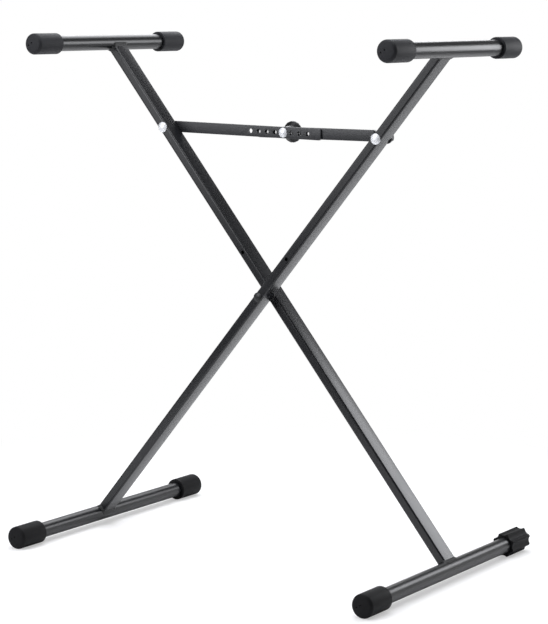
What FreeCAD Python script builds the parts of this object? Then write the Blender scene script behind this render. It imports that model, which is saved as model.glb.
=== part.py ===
import FreeCAD, Part
import math
import os
import re
import Sketcher

# Folding keyboard stand: two crossed rectangular legs with round bars at their ends,
# held open by a two-piece brace that is clamped through one of its adjusting holes.
# Frame: X across the stand, Y along the bars (front is -Y), Z up, origin on the floor
# straight below the main pivot. Lengths are in millimetres, angles in degrees.

os.makedirs("parts", exist_ok=True)
doc = FreeCAD.newDocument("keyboard_stand")
sheet = doc.addObject("Spreadsheet::Sheet", "Sizes")

SIZES = [
    # crossed legs
    ("leg_angle", 39.75, "lean of each leg from upright"),
    ("upper_reach", 524, "main pivot to top bar axis, along the leg"),
    ("lower_reach", 529, "main pivot to foot bar axis, along the leg"),
    ("leg_width", 15, "leg tube across its length, in the plane of folding"),
    ("leg_depth", 32, "leg tube along the bars"),
    ("leg_wall", 1.5, "wall of the leg tube"),
    ("leg_corner", 2.5, "outside corner radius of the leg tube"),
    ("leg_spacing", 2, "space between the two legs"),
    ("accessory_reach", 86, "main pivot to the accessory hole"),
    ("accessory_bore", 6, "accessory hole diameter"),
    # bars
    ("bar_diameter", 25.4, "outside of the round bars"),
    ("bar_wall", 1.5, "wall of the round bars"),
    ("top_bar_length", 387, "top bar over its caps"),
    ("foot_bar_length", 493, "foot bar over its caps"),
    ("weld_gap", 0.05, "hairline between leg end, weld and bar"),
    ("weld_throat", 3, "width of the weld seam beside the leg"),
    ("weld_rise", 4, "length of the weld seam along the leg"),
    # caps
    ("grip_cap_diameter", 34.2, "outside of the caps on the top bars"),
    ("grip_cap_length", 58.5, "length of the caps on the top bars"),
    ("foot_cap_diameter", 37.5, "outside of the caps on the foot bars"),
    ("foot_cap_length", 57.5, "length of the caps on the foot bars"),
    ("cap_end_wall", 4, "closed end of a cap"),
    ("cap_end_dome", 1, "crown of the closed end"),
    ("cap_rim_round", 5.2, "rounding at the closed end"),
    ("cap_mouth_round", 0.6, "rounding at the open end"),
    ("cap_fit", 0.1, "cap bore clearance on the bar, radial"),
    ("vent_bore", 2.6, "vent dimple diameter"),
    ("vent_spacing", 6.4, "distance between the vent dimples, across"),
    ("vent_step", 3.8, "height of one vent dimple above the other"),
    ("vent_offset", 5, "cap axis to the middle of its vent dimples"),
    ("vent_sink", 2.5, "depth of a vent dimple"),
    ("rib_count", 8, "ridges around the levelling cap"),
    ("crest_angle", 4.5, "half the angle that a ridge crest spans"),
    ("flute_floor", 16.6, "levelling cap axis to the floor of a flute"),
    ("levelling_throw", 1, "offset of the levelling cap bore"),
    # main pivot
    ("pivot_diameter", 8, "pivot bolt shank"),
    ("pivot_head_diameter", 16, "pivot bolt head"),
    ("pivot_head_height", 2.8, "pivot bolt head"),
    ("running_gap", 0.05, "radial clearance of every turning fit"),
    ("bush_diameter", 12, "outside of the bush in each leg"),
    ("bush_fit", 0.05, "bush clearance in the leg walls, radial"),
    ("spacer_diameter", 20, "washer between the legs"),
    ("cap_nut_diameter", 11, "round cap nut on the pivot bolt"),
    ("cap_nut_height", 1.8, "round cap nut on the pivot bolt"),
    ("cap_nut_crown", 0.4, "crown of the cap nut"),
    ("cap_nut_grip", 1.1, "length of pivot bolt inside the cap nut"),
    # nuts and washers
    ("nut_flats", 13, "lock nut across its flats"),
    ("nut_height", 6.5, "hexagon of the lock nut"),
    ("nut_chamfer", 0.6, "chamfer on the hexagon corners"),
    ("collar_diameter", 11.4, "nylon collar of the lock nut"),
    ("collar_height", 1.6, "nylon collar of the lock nut"),
    ("washer_diameter", 17, "plain washer"),
    ("washer_thickness", 1.6, "plain washer"),
    ("thread_fit", 0.05, "nut and washer clearance on the shank, radial"),
    # brace
    ("brace_reach", 344, "main pivot to the brace pivots, along the leg"),
    ("brace_bolt_diameter", 8, "shank of the brace bolts"),
    ("brace_head_diameter", 17, "dome head of the brace bolts"),
    ("brace_head_height", 4, "dome head of the brace bolts"),
    ("shank_slack", 0.2, "brace bolt clearance in the leg walls, radial"),
    ("strip_width", 18.5, "brace strip"),
    ("strip_thickness", 3, "brace strip"),
    ("strip_gap", 0.2, "clearance beside each brace strip"),
    ("adjusting_bore", 7.4, "adjusting hole diameter"),
    ("hole_pitch", 16, "adjusting hole spacing"),
    ("hole_count", 8, "adjusting holes in each strip"),
    ("clamp_offset", 1.6, "clamp bolt to the right of the middle plane"),
    ("brace_sag", 1.9, "clamp bolt below the line of the brace pivots"),
    ("hole_pull", 0.6, "each strip's hole back from the clamp bolt, as the brace pulls"),
    ("left_holes_before", 4, "holes between the left strip's first one and the clamp"),
    ("right_holes_before", 3, "holes between the right strip's last one and the clamp"),
    ("left_end_margin", 26, "left strip beyond its last hole"),
    ("left_end_round", 4, "corner radius at the left strip's end"),
    ("right_end_margin", 9.6, "right strip beyond its last hole"),
    ("joggle_start", 18, "right brace pivot to the first bend"),
    ("joggle_run", 28.5, "first bend to the second one, across the stand"),
    ("bend_round", 2.5, "inside radius of the bends"),
    # clamp
    ("clamp_diameter", 6, "shank of the clamp bolt and stud"),
    ("clamp_head_diameter", 16, "dome head of the clamp bolt"),
    ("clamp_head_height", 4, "dome head of the clamp bolt"),
    ("clamp_split", 0.3, "space between clamp bolt and clamp stud"),
    ("stud_length", 19, "threaded stud behind the right strip"),
    ("insert_diameter", 12, "metal insert in the knob"),
    ("insert_length", 15, "metal insert in the knob"),
    ("hub_diameter", 18, "knob hub at the washer"),
    ("hub_flare_diameter", 21, "knob hub where the grip begins"),
    ("hub_length", 13.5, "knob hub"),
    ("grip_diameter", 35.3, "knob grip"),
    ("grip_thickness", 9.5, "knob grip from the hub to its rim"),
    ("grip_shoulder", 5, "slope from the hub to the grip's rim"),
    ("grip_crown", 1.5, "crown on the knob's end"),
    ("grip_round", 2.6, "rounding of the grip's rims"),
    ("lobe_count", 16, "flutes around the grip"),
    ("lobe_radius", 2.2, "radius of a flute in the grip"),
    ("lobe_sink", 0.6, "depth of a flute in the grip"),
]

for row, (alias, number, meaning) in enumerate(SIZES, start=1):
    sheet.set("A%d" % row, alias)
    sheet.set("B%d" % row, str(number))
    sheet.set("C%d" % row, meaning)
    sheet.setAlias("B%d" % row, alias)
doc.recompute()


def bound(words):
    """Expression text with every size name pointed at the sheet."""
    return re.sub(r"[a-z]+(?:_[a-z]+)+", lambda found: "Sizes." + found.group(0), words)


def value(words):
    """Number that an expression has now."""
    return float(sheet.evalExpression(bound(words)))


def bind(item, name, words):
    item.setExpression(name, bound(words))


# Positions that follow from the sizes.
CROSSING = "(foot_cap_diameter / 2 + lower_reach * cos(leg_angle))"
TOP_ACROSS = "(upper_reach * sin(leg_angle))"
TOP_UP = "(" + CROSSING + " + upper_reach * cos(leg_angle))"
FOOT_ACROSS = "(lower_reach * sin(leg_angle))"
FOOT_UP = "(foot_cap_diameter / 2)"
BRACE_ACROSS = "(brace_reach * sin(leg_angle))"
BRACE_UP = "(" + CROSSING + " + brace_reach * cos(leg_angle))"
LEG_MIDDLE = "((leg_spacing + leg_depth) / 2)"
LEG_INNER = "(leg_spacing / 2)"
LEG_OUTER = "(leg_spacing / 2 + leg_depth)"
LEFT_STRIP = "(" + LEG_OUTER + " + strip_gap)"
RIGHT_STRIP = "(" + LEFT_STRIP + " + strip_thickness + strip_gap)"
RIGHT_PAD = "(strip_gap - leg_spacing / 2)"
JOGGLE_DEPTH = "(" + RIGHT_STRIP + " - " + RIGHT_PAD + ")"
BAR_RADIUS = "(bar_diameter / 2)"
CLAMP_UP = "(" + BRACE_UP + " - brace_sag)"
LEFT_ARM = "(" + BRACE_ACROSS + " + clamp_offset)"
RIGHT_ARM = "(" + BRACE_ACROSS + " - clamp_offset)"


def place(item, across, back, up, turn="0", axis="0; 1; 0"):
    """Placement bound to the sheet: position, then a turn about one axis."""
    where = "vector(%s; %s; %s)" % (across, back, up)
    bind(item, "Placement", "placement(%s; rotation(vector(%s); %s))" % (where, axis, turn))


def new_body(label):
    body = doc.addObject("PartDesign::Body", label)
    body.Label = label
    return body


def new_sketch(body, role, lift=None):
    """Empty sketch on one of the body's own planes, lifted along the plane's normal."""
    sketch = body.newObject("Sketcher::SketchObject", body.Label + "_sketch")
    plane = [item for item in body.Origin.OriginFeatures if item.Role == role][0]
    sketch.AttachmentSupport = (plane, "")
    sketch.MapMode = "FlatFace"
    if lift is not None:
        bind(sketch, "AttachmentOffset.Base.z", lift)
    return sketch


def pin_point(sketch, curve, point, across, up):
    """Fix one sketch point with sizes from the sheet."""
    for kind, origin_axis, words in (("DistanceX", -2, across), ("DistanceY", -1, up)):
        if words == "0":
            sketch.addConstraint(Sketcher.Constraint("PointOnObject", curve, point, origin_axis))
        else:
            rule = Sketcher.Constraint(kind, -1, 1, curve, point, value(words))
            index = sketch.addConstraint(rule)
            bind(sketch, "Constraints[%d]" % index, words)


def draw_circle(sketch, across, up, radius):
    centre = FreeCAD.Vector(value(across), value(up), 0)
    circle = Part.Circle(centre, FreeCAD.Vector(0, 0, 1), value(radius))
    curve = sketch.addGeometry(circle, False)
    pin_point(sketch, curve, 3, across, up)
    index = sketch.addConstraint(Sketcher.Constraint("Radius", curve, value(radius)))
    bind(sketch, "Constraints[%d]" % index, radius)


def draw_outline(sketch, points, dome=None):
    """Closed outline through the points. The edge numbered dome is an arc centred on the vertical axis."""
    corners = [FreeCAD.Vector(value(across), value(up), 0) for across, up in points]
    count = len(corners)
    ends = []
    for k in range(count):
        start = corners[k]
        stop = corners[(k + 1) % count]
        if k == dome:
            rise = (start.x ** 2 - stop.x ** 2 + start.y ** 2 - stop.y ** 2) / (2 * (start.y - stop.y))
            centre = FreeCAD.Vector(0, rise, 0)
            circle = Part.Circle(centre, FreeCAD.Vector(0, 0, 1), (start - centre).Length)
            angles = [math.atan2(corner.y - rise, corner.x) for corner in (start, stop)]
            curve = sketch.addGeometry(Part.ArcOfCircle(circle, min(angles), max(angles)), False)
            sketch.addConstraint(Sketcher.Constraint("PointOnObject", curve, 3, -2))
            ends.append((curve, 1, 2) if angles[0] < angles[1] else (curve, 2, 1))
        else:
            ends.append((sketch.addGeometry(Part.LineSegment(start, stop), False), 1, 2))
    for k in range(count):
        curve, first, last = ends[k]
        after, after_first, after_last = ends[(k + 1) % count]
        sketch.addConstraint(Sketcher.Constraint("Coincident", curve, last, after, after_first))
        pin_point(sketch, curve, first, *points[k])


def draw_rectangle(sketch, across, up):
    """Rectangle centred on the sketch's origin."""
    side = "(%s) / 2" % across
    top = "(%s) / 2" % up
    draw_outline(sketch, [(side, top), ("-" + side, top), ("-" + side, "-" + top), (side, "-" + top)])


def pad(body, sketch, length, backwards=False, both_ways=False):
    feature = body.newObject("PartDesign::Pad", body.Label + "_pad")
    feature.Profile = sketch
    feature.Reversed = backwards
    if both_ways:
        feature.SideType = "Symmetric"
    bind(feature, "Length", length)
    doc.recompute()
    return feature


def pocket(body, sketch, length, backwards=False, both_ways=False):
    """Pocket that has to take material away."""
    doc.recompute()
    before = body.Shape.Volume
    feature = body.newObject("PartDesign::Pocket", body.Label + "_pocket")
    feature.Profile = sketch
    feature.Reversed = backwards
    if both_ways:
        feature.SideType = "Symmetric"
    bind(feature, "Length", length)
    doc.recompute()
    assert body.Shape.Volume < before, body.Label + " pocket removes nothing"
    return feature


def revolve(body, sketch, kind="PartDesign::Revolution"):
    """Full turn about the sketch's vertical axis."""
    feature = body.newObject(kind, body.Label + "_turned")
    feature.Profile = sketch
    feature.ReferenceAxis = (sketch, ["V_Axis"])
    feature.Angle = 360
    doc.recompute()
    return feature


def repeat_around(body, feature, sketch, count):
    """Copies of a feature around the sketch's normal."""
    pattern = body.newObject("PartDesign::PolarPattern", body.Label + "_around")
    pattern.Originals = [feature]
    pattern.Axis = (sketch, ["N_Axis"])
    pattern.Angle = 360
    bind(pattern, "Occurrences", count)
    body.Tip = pattern
    doc.recompute()


def repeat_along(body, feature, sketch, pitch, count):
    """Copies of a feature along the sketch's horizontal axis."""
    pattern = body.newObject("PartDesign::LinearPattern", body.Label + "_along")
    pattern.Originals = [feature]
    pattern.Direction = (sketch, ["H_Axis"])
    bind(pattern, "Length", "%s * (%s - 1)" % (pitch, count))
    bind(pattern, "Occurrences", count)
    body.Tip = pattern
    doc.recompute()


def fillet(body, radius, wanted):
    """Round the edges of the body's last shape that the test picks out."""
    doc.recompute()
    base = body.Tip
    names = ["Edge%d" % (k + 1) for k, edge in enumerate(base.Shape.Edges) if wanted(edge)]
    assert names, body.Label + " has no such edge"
    feature = body.newObject("PartDesign::Fillet", body.Label + "_round")
    feature.Base = (base, names)
    bind(feature, "Radius", radius)
    doc.recompute()


def is_line_along(edge, axis):
    """True for a straight edge that runs along the given local axis."""
    if edge.Degenerated or not isinstance(edge.Curve, Part.Line):
        return False
    return abs(edge.tangentAt(edge.FirstParameter).dot(axis)) > 0.999


def is_rim(edge, radius, height):
    """True for a full circle of this radius about the local Y axis, at this height on it."""
    if edge.Degenerated or not isinstance(edge.Curve, Part.Circle):
        return False
    centre = edge.Curve.Center
    return abs(edge.Curve.Radius - radius) < 0.01 and abs(centre.y - height) < 0.01 and abs(centre.x) < 0.01


ALONG_X = FreeCAD.Vector(1, 0, 0)
ALONG_Y = FreeCAD.Vector(0, 1, 0)
ALONG_Z = FreeCAD.Vector(0, 0, 1)


# Legs: rectangular tubes from bar axis to bar axis, coped round the bars and bored for the bolts.
# Local frame: origin at the main pivot and the tube's middle, Z along the leg.
def make_leg(label, turn, back):
    leg = new_body(label)
    outline = new_sketch(leg, "XY_Plane", "-lower_reach")
    draw_rectangle(outline, "leg_width", "leg_depth")
    pad(leg, outline, "upper_reach + lower_reach")
    fillet(leg, "leg_corner", lambda edge: is_line_along(edge, ALONG_Z))
    hollow = new_sketch(leg, "XY_Plane", "upper_reach")
    draw_rectangle(hollow, "leg_width - 2 * leg_wall", "leg_depth - 2 * leg_wall")
    pocket(leg, hollow, "upper_reach + lower_reach")
    openings = new_sketch(leg, "XZ_Plane")
    draw_circle(openings, "0", "upper_reach", BAR_RADIUS + " + weld_gap")
    draw_circle(openings, "0", "-lower_reach", BAR_RADIUS + " + weld_gap")
    draw_circle(openings, "0", "0", "bush_diameter / 2 + bush_fit")
    draw_circle(openings, "0", "accessory_reach", "accessory_bore / 2")
    draw_circle(openings, "0", "brace_reach", "brace_bolt_diameter / 2 + shank_slack")
    pocket(leg, openings, "2 * leg_depth", both_ways=True)
    place(leg, "0", back, CROSSING, turn)


make_leg("front_leg", "leg_angle", "-" + LEG_MIDDLE)
make_leg("rear_leg", "-leg_angle", LEG_MIDDLE)


# Bars: round tubes along Y that end inside their caps.
def make_tube(label, outer, inner, length, both_ways):
    tube = new_body(label)
    ring = new_sketch(tube, "XZ_Plane")
    draw_circle(ring, "0", "0", outer)
    draw_circle(ring, "0", "0", inner)
    pad(tube, ring, length, backwards=True, both_ways=both_ways)
    return tube


def make_bar(label, length, across, up):
    bar = make_tube(label, BAR_RADIUS, BAR_RADIUS + " - bar_wall", length + " - 2 * cap_end_wall", True)
    place(bar, across, "0", up)


make_bar("top_bar_left", "top_bar_length", "-" + TOP_ACROSS, TOP_UP)
make_bar("top_bar_right", "top_bar_length", TOP_ACROSS, TOP_UP)
make_bar("foot_bar_left", "foot_bar_length", "-" + FOOT_ACROSS, FOOT_UP)
make_bar("foot_bar_right", "foot_bar_length", FOOT_ACROSS, FOOT_UP)


# Weld seams: a tapered skirt around each leg end that meets the bar.
# Local frame: origin at the main pivot and the tube's middle, Z along the leg towards this end.
def make_weld(label, reach, turn, back):
    seat = "(%s - sqrt(pow(%s; 2) - pow(leg_width / 2; 2)))" % (reach, BAR_RADIUS)
    skirt = doc.addObject("Part::Wedge", label + "_skirt")
    for name, words in (
        ("Xmin", "-leg_width / 2"),
        ("Xmax", "leg_width / 2"),
        ("Ymin", seat + " - weld_rise"),
        ("Ymax", seat + " + weld_throat"),
        ("Zmin", "-leg_depth / 2"),
        ("Zmax", "leg_depth / 2"),
        ("X2min", "-leg_width / 2 - weld_throat"),
        ("X2max", "leg_width / 2 + weld_throat"),
        ("Z2min", "-leg_depth / 2 - weld_throat"),
        ("Z2max", "leg_depth / 2 + weld_throat"),
    ):
        bind(skirt, name, words)
    place(skirt, "0", "0", "0", "90", "1; 0; 0")
    leg_space = doc.addObject("Part::Box", label + "_leg_space")
    bind(leg_space, "Length", "leg_width")
    bind(leg_space, "Width", "leg_depth")
    bind(leg_space, "Height", reach)
    place(leg_space, "-leg_width / 2", "-leg_depth / 2", "0")
    bar_space = doc.addObject("Part::Cylinder", label + "_bar_space")
    bind(bar_space, "Radius", BAR_RADIUS + " + weld_gap")
    bind(bar_space, "Height", "2 * leg_depth")
    place(bar_space, "0", "leg_depth", reach, "90", "1; 0; 0")
    spaces = doc.addObject("Part::Fuse", label + "_spaces")
    spaces.Base = leg_space
    spaces.Tool = bar_space
    weld = doc.addObject("Part::Cut", label)
    weld.Base = skirt
    weld.Tool = spaces
    place(weld, "0", back, CROSSING, turn)


make_weld("weld_top_right", "upper_reach", "leg_angle", "-" + LEG_MIDDLE)
make_weld("weld_foot_left", "lower_reach", "leg_angle + 180", "-" + LEG_MIDDLE)
make_weld("weld_top_left", "upper_reach", "-leg_angle", LEG_MIDDLE)
make_weld("weld_foot_right", "lower_reach", "180 - leg_angle", LEG_MIDDLE)


# Caps: rubber cups on the bar ends, crowned at the closed end, with two vent dimples there.
# Local frame: origin on the bar axis at the cap's mouth, Y towards the closed end.
def make_cap(label, diameter, length, across, middle, up, facing_front):
    radius = "(%s / 2)" % diameter
    cap = new_body(label)
    section = new_sketch(cap, "XY_Plane")
    bore = BAR_RADIUS + " + cap_fit"
    points = [
        (bore, "0"),
        (radius, "0"),
        (radius, length + " - cap_end_dome"),
        ("0", length),
        ("0", length + " - cap_end_wall"),
        (bore, length + " - cap_end_wall"),
    ]
    draw_outline(section, points, dome=2)
    revolve(cap, section)
    fillet(cap, "cap_rim_round", lambda edge: is_rim(edge, value(radius), value(length + " - cap_end_dome")))
    fillet(cap, "cap_mouth_round", lambda edge: is_rim(edge, value(radius), 0))
    vents = new_sketch(cap, "XZ_Plane", "-" + length)
    for side, up_or_down in (("-", ""), ("+", "-")):
        across_cap = "vent_offset %s vent_spacing / 2" % side
        draw_circle(vents, across_cap, up_or_down + "vent_step / 2", "vent_bore / 2")
    pocket(cap, vents, "vent_sink", backwards=True)
    reach = "(%s / 2 - %s)" % (middle, length)
    if facing_front:
        place(cap, across, "-" + reach, up, "180", "0; 0; 1")
    else:
        place(cap, across, reach, up)


GRIP_CAP = ("grip_cap_diameter", "grip_cap_length")
FOOT_CAP = ("foot_cap_diameter", "foot_cap_length")
make_cap("grip_cap_left_front", *GRIP_CAP, "-" + TOP_ACROSS, "top_bar_length", TOP_UP, True)
make_cap("grip_cap_left_rear", *GRIP_CAP, "-" + TOP_ACROSS, "top_bar_length", TOP_UP, False)
make_cap("grip_cap_right_front", *GRIP_CAP, TOP_ACROSS, "top_bar_length", TOP_UP, True)
make_cap("grip_cap_right_rear", *GRIP_CAP, TOP_ACROSS, "top_bar_length", TOP_UP, False)
make_cap("foot_cap_left_front", *FOOT_CAP, "-" + FOOT_ACROSS, "foot_bar_length", FOOT_UP, True)
make_cap("foot_cap_left_rear", *FOOT_CAP, "-" + FOOT_ACROSS, "foot_bar_length", FOOT_UP, False)
make_cap("foot_cap_right_front", *FOOT_CAP, FOOT_ACROSS, "foot_bar_length", FOOT_UP, True)


# Levelling cap: a fluted cap with its bore off centre, so that turning it lifts this foot.
# Two neighbouring ridges stand on the floor at the height of the plain caps.
# Local frame: origin on the bar axis at the cap's mouth, Y towards the closed end.
def make_levelling_cap():
    half_flute = "(180 / rib_count - crest_angle)"
    ridge = "(foot_cap_diameter / 2 / cos(%s))" % half_flute
    sag = "(%s * cos(%s) - flute_floor)" % (ridge, half_flute)
    half_mouth = "(%s * sin(%s))" % (ridge, half_flute)
    flute_radius = "((pow(%s; 2) + pow(%s; 2)) / (2 * %s))" % (sag, half_mouth, sag)
    cap = new_body("levelling_cap")
    section = new_sketch(cap, "XZ_Plane")
    draw_circle(section, "0", "0", ridge)
    pad(cap, section, "foot_cap_length", backwards=True)
    ridge_rim = value(ridge)
    closed_end = value("foot_cap_length")
    for end in (0, closed_end):
        fillet(cap, "cap_mouth_round", lambda edge: is_rim(edge, ridge_rim, end))
    flute = new_sketch(cap, "XZ_Plane")
    draw_circle(flute, "0", "-(flute_floor + %s)" % flute_radius, flute_radius)
    cut = pocket(cap, flute, "foot_cap_length")
    repeat_around(cap, cut, flute, "rib_count")
    bore = new_sketch(cap, "XZ_Plane")
    draw_circle(bore, "levelling_throw", "0", BAR_RADIUS + " + running_gap")
    pocket(cap, bore, "foot_cap_length - cap_end_wall")
    along = "(foot_bar_length / 2 - foot_cap_length)"
    place(cap, FOOT_ACROSS + " - levelling_throw", along, FOOT_UP)


make_levelling_cap()


# Fasteners. Local frame of a bolt: origin under its head, Y along the shank.
def make_dome_bolt(label, head_diameter, head_height, diameter, shank, across, back, up):
    edge = "(%s / 5)" % head_height
    bolt = new_body(label)
    section = new_sketch(bolt, "XY_Plane")
    points = [
        ("0", "-" + head_height),
        (head_diameter + " / 2", "-" + edge),
        (head_diameter + " / 2", "0"),
        (diameter + " / 2", "0"),
        (diameter + " / 2", shank),
        ("0", shank),
    ]
    draw_outline(section, points, dome=0)
    revolve(bolt, section)
    place(bolt, across, back, up)


def make_ring(label, diameter, bore, thickness, across, back, up):
    ring = make_tube(label, diameter + " / 2", bore, thickness, False)
    place(ring, across, back, up)


def make_lock_nut(label, across, back, up):
    corner = "(nut_flats / 2 / cos(30))"
    bore = "brace_bolt_diameter / 2 + thread_fit"
    nut = new_body(label)
    hexagon = new_sketch(nut, "XZ_Plane")
    points = []
    for k in range(6):
        turn = 60 * k + 30
        points.append(("%s * cos(%d)" % (corner, turn), "%s * sin(%d)" % (corner, turn)))
    points[1] = ("0", corner)
    points[4] = ("0", "-" + corner)
    draw_outline(hexagon, points)
    draw_circle(hexagon, "0", "0", bore)
    pad(nut, hexagon, "nut_height", backwards=True)
    chamfer = new_sketch(nut, "XY_Plane")
    beyond = corner + " + nut_chamfer"
    draw_outline(chamfer, [("nut_flats / 2", "nut_height"), (beyond, "nut_height - nut_chamfer"),
                           (beyond, "nut_height + 1")])
    draw_outline(chamfer, [("nut_flats / 2", "0"), (beyond, "-1"), (beyond, "nut_chamfer")])
    revolve(nut, chamfer, "PartDesign::Groove")
    collar = new_sketch(nut, "XZ_Plane", "-nut_height")
    draw_circle(collar, "0", "0", "collar_diameter / 2")
    draw_circle(collar, "0", "0", bore)
    pad(nut, collar, "collar_height", backwards=True)
    place(nut, across, back, up)


# Main pivot: one bolt through a bush in each leg, a spacer between them, and a round cap nut behind.
RUNNING_BORE = "pivot_diameter / 2 + running_gap"
make_dome_bolt("pivot_bolt", "pivot_head_diameter", "pivot_head_height", "pivot_diameter",
               "(2 * leg_depth + leg_spacing + strip_gap + cap_nut_grip)", "0", "-" + LEG_OUTER, CROSSING)
make_ring("pivot_bush_front", "bush_diameter", RUNNING_BORE, "leg_depth", "0", "-" + LEG_OUTER, CROSSING)
make_ring("pivot_bush_rear", "bush_diameter", RUNNING_BORE, "leg_depth", "0", LEG_INNER, CROSSING)
make_ring("pivot_spacer", "spacer_diameter", RUNNING_BORE, "leg_spacing - strip_gap", "0", "-" + LEG_INNER,
          CROSSING)
cap_nut = new_body("pivot_cap_nut")
cap_nut_section = new_sketch(cap_nut, "XY_Plane")
draw_outline(cap_nut_section, [
    ("pivot_diameter / 2 + thread_fit", "0"),
    ("cap_nut_diameter / 2", "0"),
    ("cap_nut_diameter / 2", "cap_nut_height - cap_nut_crown"),
    ("0", "cap_nut_height"),
    ("0", "cap_nut_grip"),
    ("pivot_diameter / 2 + thread_fit", "cap_nut_grip"),
], dome=2)
revolve(cap_nut, cap_nut_section)
place(cap_nut, "0", LEG_OUTER + " + strip_gap", CROSSING)


# Brace pivots: a dome bolt through the leg, then the strip, a washer and a lock nut.
BEHIND_STRIP = "(strip_gap + strip_thickness + strip_gap)"
SHANK_BORE = "brace_bolt_diameter / 2 + thread_fit"
BOLT_LENGTH = "(leg_depth + %s + washer_thickness + nut_height + collar_height)" % BEHIND_STRIP
for side, across, front in (("left", "-" + BRACE_ACROSS, LEG_INNER),
                            ("right", BRACE_ACROSS, "-" + LEG_OUTER)):
    make_dome_bolt("brace_bolt_" + side, "brace_head_diameter", "brace_head_height",
                   "brace_bolt_diameter", BOLT_LENGTH, across, front, BRACE_UP)
    behind = "%s + leg_depth + %s" % (front, BEHIND_STRIP)
    make_ring("brace_washer_" + side, "washer_diameter", SHANK_BORE, "washer_thickness", across, behind,
              BRACE_UP)
    make_lock_nut("brace_nut_" + side, across, behind + " + washer_thickness", BRACE_UP)


# Adjusting holes: a row along X, the first one at the given place.
def bore_row(strip, first):
    row = new_sketch(strip, "XZ_Plane")
    draw_circle(row, first, "0", "adjusting_bore / 2")
    hole = pocket(strip, row, "4 * " + RIGHT_STRIP, both_ways=True)
    repeat_along(strip, hole, row, "hole_pitch", "hole_count")


def bore_pivot(strip):
    eye = new_sketch(strip, "XZ_Plane")
    draw_circle(eye, "0", "0", "brace_bolt_diameter / 2 + running_gap")
    pocket(strip, eye, "4 * " + RIGHT_STRIP, both_ways=True)


# Left brace strip: flat steel behind the rear leg.
# Local frame: origin on its pivot at the front face, X towards the clamp, which it dips to.
left_strip = new_body("brace_strip_left")
left_reach = "sqrt(pow(%s; 2) + pow(brace_sag; 2))" % LEFT_ARM
left_first = "(%s - hole_pull - left_holes_before * hole_pitch)" % left_reach
left_end = "(%s + (hole_count - 1) * hole_pitch + left_end_margin)" % left_first
left_outline = new_sketch(left_strip, "XZ_Plane")
half_strip = "strip_width / 2"
draw_outline(left_outline, [(left_end, half_strip), ("-" + half_strip, half_strip),
                            ("-" + half_strip, "-" + half_strip), (left_end, "-" + half_strip)])
pad(left_strip, left_outline, "strip_thickness", backwards=True)
fillet(left_strip, "strip_width / 2 - 0.01",
       lambda edge: is_line_along(edge, ALONG_Y) and edge.CenterOfMass.x < 0)
fillet(left_strip, "left_end_round",
       lambda edge: is_line_along(edge, ALONG_Y) and edge.CenterOfMass.x > value(left_first))
bore_pivot(left_strip)
bore_row(left_strip, left_first)
place(left_strip, "-" + BRACE_ACROSS, LEFT_STRIP, BRACE_UP, "atan(brace_sag / %s)" % LEFT_ARM)


# Right brace strip: from a pad behind the front leg it is bent back, then runs flat behind the left strip.
# Local frame: origin on its pivot at the pad's front face, the clamp at -X.
right_strip = new_body("brace_strip_right")
right_reach = "sqrt(pow(%s; 2) + pow(brace_sag; 2))" % RIGHT_ARM
right_first = "(hole_pull - %s - right_holes_before * hole_pitch)" % right_reach
right_end = "(%s - right_end_margin)" % right_first
bend_angle = "atan(%s / joggle_run)" % JOGGLE_DEPTH
shift = "(strip_thickness * tan(%s / 2))" % bend_angle
second_bend = "(joggle_start + joggle_run)"
back_face = "(%s + strip_thickness)" % JOGGLE_DEPTH
bent = new_sketch(right_strip, "XY_Plane")
draw_outline(bent, [
    (half_strip, "0"),
    (half_strip, "strip_thickness"),
    ("%s - joggle_start" % shift, "strip_thickness"),
    ("%s - %s" % (shift, second_bend), back_face),
    (right_end, back_face),
    (right_end, JOGGLE_DEPTH),
    ("-" + second_bend, JOGGLE_DEPTH),
    ("-joggle_start", "0"),
])
pad(right_strip, bent, "strip_width", both_ways=True)
right_turn = value("-joggle_start")
right_tail = value(right_end)


def is_bend(edge, outside):
    """Straight edge along Z at a bend, on the outside or the inside of it."""
    if not is_line_along(edge, ALONG_Z) or not right_tail + 1 < edge.CenterOfMass.x < value(half_strip) - 1:
        return False
    first = edge.CenterOfMass.x > value("-joggle_start - joggle_run / 2")
    front_face = edge.CenterOfMass.y < 1 or abs(edge.CenterOfMass.y - value(JOGGLE_DEPTH)) < 1
    return outside == (first == front_face)


fillet(right_strip, "bend_round", lambda edge: is_bend(edge, False))
fillet(right_strip, "bend_round + strip_thickness", lambda edge: is_bend(edge, True))
fillet(right_strip, "strip_width / 2 - 0.01", lambda edge: is_line_along(edge, ALONG_Y))
bore_pivot(right_strip)
bore_row(right_strip, right_first)
place(right_strip, BRACE_ACROSS, RIGHT_PAD, BRACE_UP, "-atan(brace_sag / %s)" % RIGHT_ARM)


# Clamp: the bolt's head and neck ride on the left strip, its threaded stud on the right one.
make_dome_bolt("clamp_bolt", "clamp_head_diameter", "clamp_head_height", "clamp_diameter",
               "(strip_thickness + strip_gap / 2 - clamp_split / 2)", "clamp_offset", LEFT_STRIP, CLAMP_UP)
STUD_START = "(%s + strip_thickness + strip_gap / 2 + clamp_split / 2)" % LEFT_STRIP
clamp_stud = new_body("clamp_stud")
stud_section = new_sketch(clamp_stud, "XZ_Plane")
draw_circle(stud_section, "0", "0", "clamp_diameter / 2")
pad(clamp_stud, stud_section, "strip_thickness + washer_thickness + stud_length", backwards=True)
place(clamp_stud, "clamp_offset", STUD_START, CLAMP_UP)
CLAMP_WASHER = "(%s + strip_thickness)" % RIGHT_STRIP
make_ring("clamp_washer", "washer_diameter", "clamp_diameter / 2 + thread_fit", "washer_thickness",
          "clamp_offset", CLAMP_WASHER, CLAMP_UP)


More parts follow.
